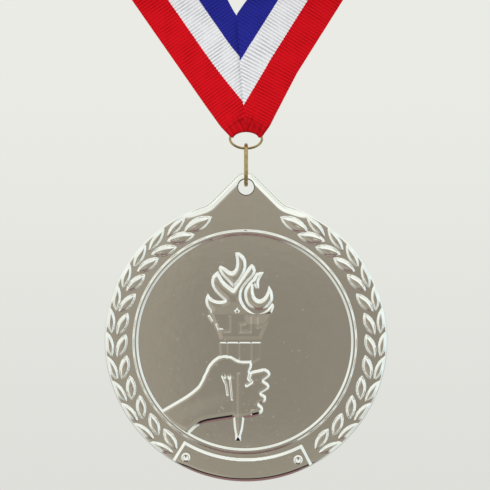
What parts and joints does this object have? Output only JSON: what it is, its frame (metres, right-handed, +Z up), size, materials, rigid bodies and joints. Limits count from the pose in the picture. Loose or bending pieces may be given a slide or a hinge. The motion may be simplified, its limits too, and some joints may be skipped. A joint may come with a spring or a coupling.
{
  "type": "finisher medal",
  "caption": "Round silver finisher medal with a torch and laurel wreath in relief, on a striped neck ribbon folded into a tied hank.",
  "frame": {"origin": "the top face of the folded ribbon, straight above the middle of the hanging medal", "axes": "+Z up, along the hanging medal; the medal lies in the XZ plane with its face towards -Y"},
  "size_m": [0.07, 0.0092, 0.1429],
  "materials": {
    "silver_plate": "polished silver plate on struck steel",
    "antique_brass": "antique brass wire, satin",
    "woven_ribbon": "matt ribbed tape in red, white and blue stripes",
    "elastic_band": "matt woven elastic",
    "sewing_thread": "twisted cotton thread"
  },
  "bodies": {
    "ribbon": {"ribbon_hank": "woven_ribbon", "hank_band": "elastic_band", "ribbon_left_arm": "woven_ribbon", "ribbon_right_arm": "woven_ribbon", "seam_thread": "sewing_thread"},
    "ring": {"ribbon_ring_loop": "woven_ribbon", "oval_ring": "antique_brass"},
    "link": {"connecting_link": "antique_brass"},
    "medal": {"medal_disc": "silver_plate"}
  },
  "joints": [
    {"name": "ring_swing", "type": "hinge", "parent": "ribbon", "child": "ring", "pos_m": [0, 0, -0.0516], "axis": [1, 0, 0], "range_deg": [-30, 30]},
    {"name": "link_swing", "type": "hinge", "parent": "ring", "child": "link", "pos_m": [0, 0, -0.05945], "axis": [1, 0, 0], "range_deg": [-80, 80]},
    {"name": "medal_swing", "type": "hinge", "parent": "link", "child": "medal", "pos_m": [0, 0, -0.0682], "axis": [0, 1, 0], "range_deg": [-60, 60]}
  ]
}
